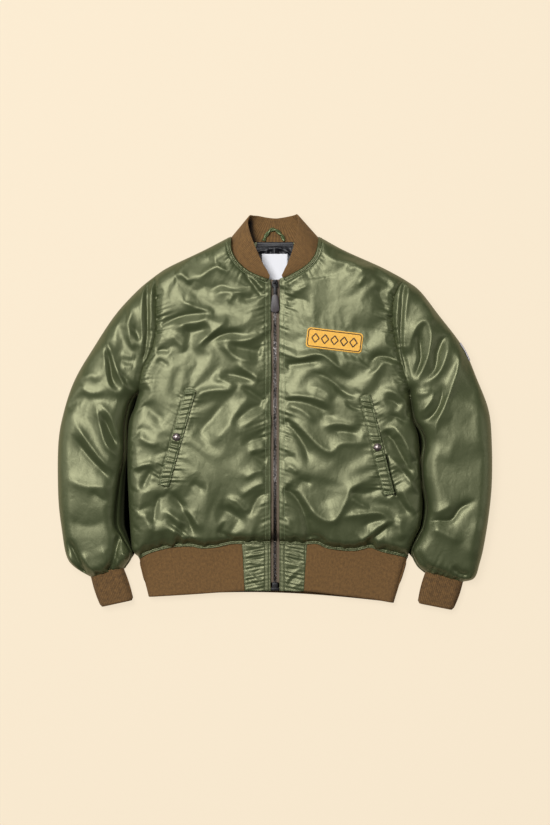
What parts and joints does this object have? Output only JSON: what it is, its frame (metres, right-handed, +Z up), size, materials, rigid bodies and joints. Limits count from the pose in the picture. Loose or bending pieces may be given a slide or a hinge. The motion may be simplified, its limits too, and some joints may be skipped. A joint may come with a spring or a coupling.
{
  "type": "tanker jacket",
  "caption": "Zip-up padded satin bomber jacket laid flat on its back, with rib collar, cuffs and hem and slanted snap pockets.",
  "frame": {"origin": "on the surface that the jacket lies on, under the middle of its overall box", "axes": "+X is the wearer's left, +Y runs from the hem to the collar, +Z is up from the surface"},
  "size_m": [0.824, 0.7506, 0.0623],
  "materials": {
    "satin": "olive padded satin",
    "rib_knit": "brown rib knit",
    "lining": "charcoal satin",
    "label_cloth": "plain woven label",
    "patch_cloth": "woven patch",
    "patch_thread": "golden embroidery",
    "zip_tape": "brown woven tape",
    "zip_metal": "blackened brass",
    "snap_metal": "antiqued brass",
    "leather": "dark leather"
  },
  "bodies": {
    "jacket": {"back": "satin", "chest_patch": "patch_thread", "collar": "rib_knit", "cuff_left": "rib_knit", "cuff_right": "rib_knit", "front_left": "satin", "front_right": "satin", "hanger_loop": "satin", "hem_block_left": "satin", "hem_block_right": "satin", "hem_rib": "rib_knit", "label": "label_cloth", "lining_back_neck": "lining", "pocket_welt_left": "satin", "pocket_welt_right": "satin", "sleeve_left": "satin", "sleeve_patch": "patch_cloth", "sleeve_right": "satin", "snap_left": "snap_metal", "snap_right": "snap_metal", "zip_box": "zip_metal", "zip_chain": "zip_metal", "zip_slider": "zip_metal", "zip_tape_left": "zip_tape", "zip_tape_right": "zip_tape"},
    "zip_pull": {"zip_link": "zip_metal", "zip_pull_tab": "leather"}
  },
  "joints": [
    {"name": "zip_pull_hinge", "type": "hinge", "parent": "jacket", "child": "zip_pull", "pos_m": [0, 0.244, 0.0532], "axis": [-1, 0, 0], "range_deg": [0, 165]}
  ]
}
